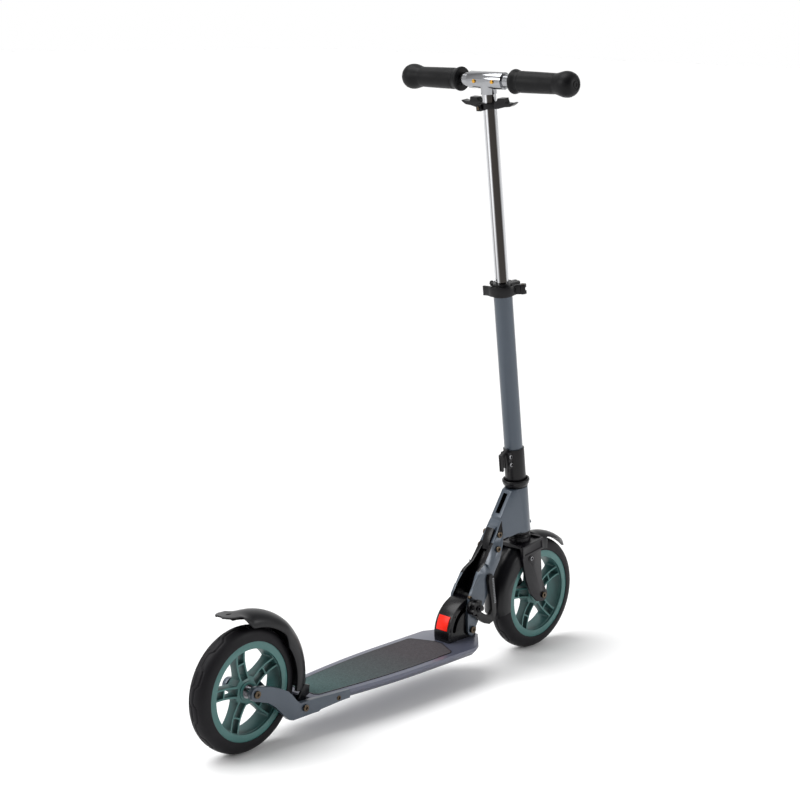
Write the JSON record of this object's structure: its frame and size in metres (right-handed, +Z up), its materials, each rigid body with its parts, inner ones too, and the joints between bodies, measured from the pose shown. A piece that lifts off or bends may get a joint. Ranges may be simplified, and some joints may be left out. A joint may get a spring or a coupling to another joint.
{
  "type": "kick scooter",
  "caption": "Folding kick scooter with large wheels, a height-adjustable T-bar, foot brake over the rear wheel and grip-taped deck.",
  "frame": {"origin": "on the ground, midway between the axles, on the plane of symmetry", "axes": "+X towards the front wheel, +Y to the rider's left, +Z up"},
  "size_m": [0.895, 0.36, 1.0227],
  "materials": {
    "fork_paint": "satin",
    "slate_paint": "satin",
    "black_paint": "satin",
    "grip_tape": "matte",
    "teal_rim": "satin",
    "tyre": "matte",
    "bearing_steel": "satin",
    "brass_fastener": "satin",
    "dark_steel": "satin",
    "black_plastic": "matte",
    "chrome": "polished",
    "grip_rubber": "matte",
    "red_reflector": "gloss"
  },
  "bodies": {
    "chassis": {"deck": "slate_paint", "grip_tape": "grip_tape", "rear_arm_left": "slate_paint", "rear_arm_right": "slate_paint", "rear_arm_screws": "brass_fastener", "rear_axle": "brass_fastener", "rear_axle_spacers": "bearing_steel", "brake_pivot_pin": "brass_fastener", "brake_spring": "bearing_steel", "fold_block": "black_paint", "rear_reflector": "red_reflector", "fold_block_bolts": "dark_steel", "fold_pivot_bolt": "brass_fastener"},
    "rear_wheel": {"rear_rim": "teal_rim", "rear_tyre": "tyre", "rear_wheel_bearings": "bearing_steel", "rear_bearing_sleeve": "bearing_steel"},
    "rear_brake": {"rear_mudguard": "black_plastic", "brake_wear_plate": "bearing_steel", "mudguard_rivet": "dark_steel"},
    "neck": {"neck_arm": "slate_paint", "head_tube": "slate_paint", "neck_bolts": "brass_fastener", "headset_bearings": "bearing_steel", "lock_skewer": "dark_steel", "lock_stop_screw": "brass_fastener"},
    "lock_knob": {"lock_knob": "black_plastic"},
    "lock_lever": {"lock_lever": "black_plastic"},
    "steering": {"fork": "fork_paint", "steerer_tube": "dark_steel", "lower_headset_ring": "black_plastic", "upper_headset_ring": "black_plastic", "outer_column": "slate_paint", "base_collar": "black_paint", "collar_screws": "dark_steel", "front_axle": "brass_fastener", "front_axle_spacers": "bearing_steel", "front_mudguard": "black_plastic", "front_mudguard_screws": "brass_fastener", "clamp_collar": "black_plastic", "clamp_skewer": "brass_fastener", "column_top_bush": "black_plastic"},
    "front_wheel": {"front_rim": "teal_rim", "front_tyre": "tyre", "front_wheel_bearings": "bearing_steel", "front_bearing_sleeve": "bearing_steel"},
    "clamp_lever": {"clamp_lever": "black_plastic"},
    "inner_column": {"inner_column": "chrome", "column_foot_bush": "black_plastic", "t_sleeve": "chrome", "grip_clip": "black_plastic", "grip_clip_screw": "brass_fastener"},
    "handlebar_left": {"handlebar_left": "chrome", "grip_left": "grip_rubber", "button_spring_left": "bearing_steel"},
    "handlebar_right": {"handlebar_right": "chrome", "grip_right": "grip_rubber", "button_spring_right": "bearing_steel"},
    "button_left": {"snap_button_left": "brass_fastener"},
    "button_right": {"snap_button_right": "brass_fastener"}
  },
  "joints": [
    {"name": "rear_wheel_spin", "type": "hinge", "parent": "chassis", "child": "rear_wheel", "pos_m": [-0.3475, 0, 0.1], "axis": [0, 1, 0], "continuous": true},
    {"name": "brake_press", "type": "hinge", "parent": "chassis", "child": "rear_brake", "pos_m": [-0.2505, 0, 0.054], "axis": [0, -1, 0], "range_deg": [0, 7.8], "stiffness_Nm_per_rad": 6, "springref_deg": -8.59, "deforming": ["brake_spring"]},
    {"name": "fold", "type": "hinge", "parent": "chassis", "child": "neck", "pos_m": [0.1635, 0, 0.0777], "axis": [0, -1, 0], "range_deg": [0, 78]},
    {"name": "knob_turn", "type": "hinge", "parent": "neck", "child": "lock_knob", "pos_m": [0.16078, 0, 0.11871], "axis": [0, 1, 0], "continuous": true},
    {"name": "lock_lever_turn", "type": "hinge", "parent": "neck", "child": "lock_lever", "pos_m": [0.16078, 0, 0.11871], "axis": [0, 1, 0], "range_deg": [0, 22]},
    {"name": "steer", "type": "hinge", "parent": "neck", "child": "steering", "pos_m": [0.34202, 0, 0], "axis": [-0.1478, 0, 0.989], "range_deg": [-60, 60]},
    {"name": "front_wheel_spin", "type": "hinge", "parent": "steering", "child": "front_wheel", "pos_m": [0.3475, 0, 0.1], "axis": [0, 1, 0], "continuous": true},
    {"name": "clamp_lever_turn", "type": "hinge", "parent": "steering", "child": "clamp_lever", "pos_m": [0.25899, -0.032, 0.65704], "axis": [-0.1478, 0, 0.989], "range_deg": [0, 110]},
    {"name": "height_slide", "type": "slide", "parent": "steering", "child": "inner_column", "axis": [-0.1478, 0, 0.989], "range_m": [-0.2, 0]},
    {"name": "handlebar_left_pull", "type": "slide", "parent": "inner_column", "child": "handlebar_left", "axis": [0, 1, 0], "range_m": [0, 0.036], "deforming": ["snap_button_left"]},
    {"name": "handlebar_right_pull", "type": "slide", "parent": "inner_column", "child": "handlebar_right", "axis": [0, -1, 0], "range_m": [0, 0.036], "deforming": ["snap_button_right"]},
    {"name": "button_left_press", "type": "slide", "parent": "handlebar_left", "child": "button_left", "axis": [0.989, 0, 0.1478], "range_m": [0, 0.0045], "stiffness_N_per_m": 600, "springref_m": -0.003, "deforming": ["button_spring_left"]},
    {"name": "button_right_press", "type": "slide", "parent": "handlebar_right", "child": "button_right", "axis": [0.989, 0, 0.1478], "range_m": [0, 0.0045], "stiffness_N_per_m": 600, "springref_m": -0.003, "deforming": ["button_spring_right"]}
  ]
}
